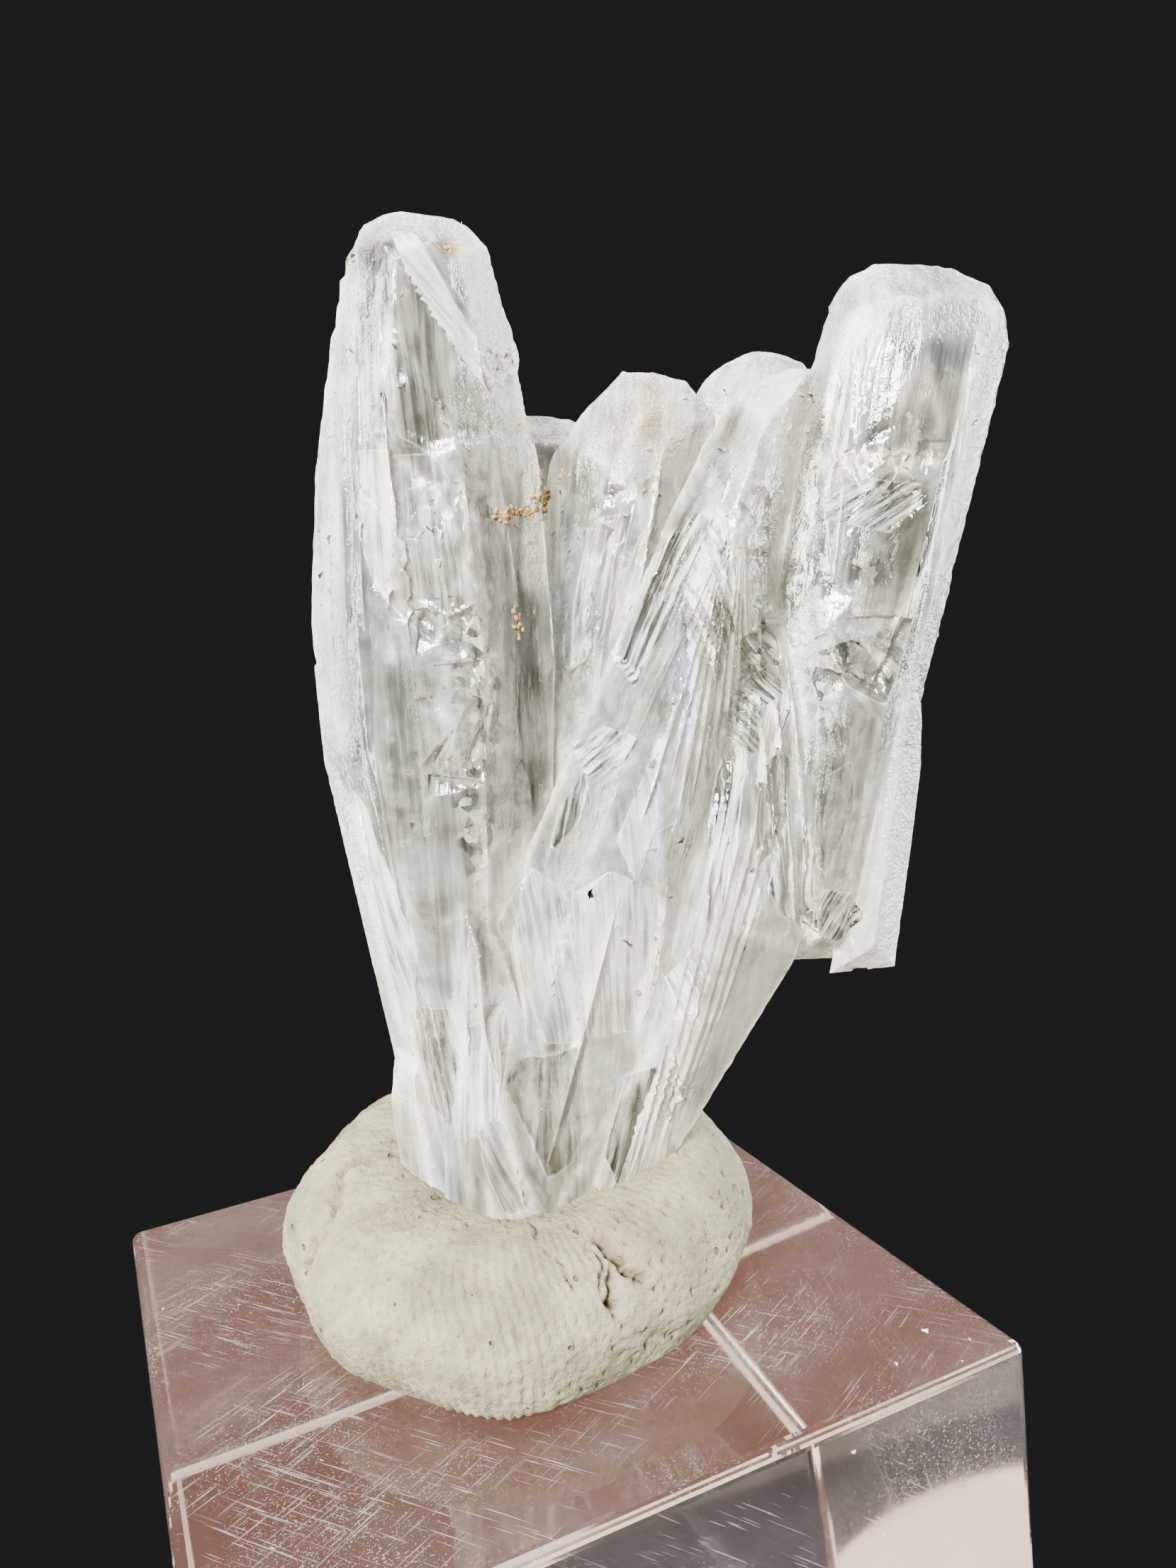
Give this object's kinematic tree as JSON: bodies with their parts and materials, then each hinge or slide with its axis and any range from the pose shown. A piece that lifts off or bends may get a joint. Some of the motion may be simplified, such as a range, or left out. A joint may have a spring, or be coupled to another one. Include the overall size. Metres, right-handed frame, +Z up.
{
  "type": "calcite specimen",
  "caption": "Fan of clear and frosted calcite blades grown together, set in a lump of mounting putty on a clear acrylic display cube.",
  "frame": {"origin": "centre of the flat face that the acrylic cube stands on", "axes": "+Z up along the crystals, X and Y along the cube's sides; the fan of blades faces -Y, turned 23 degrees towards -X"},
  "size_m": [0.0392, 0.0318, 0.0786],
  "materials": {
    "calcite": "clear calcite, frosted and etched at the tips, finely striated below",
    "putty": "matt mounting putty, thumbed, with fingerprint ridges",
    "acrylic": "polished clear cast acrylic with fine scratches"
  },
  "bodies": {
    "root": {"calcite_cluster": "calcite", "mounting_putty": "putty", "acrylic_block": "acrylic"}
  },
  "joints": []
}
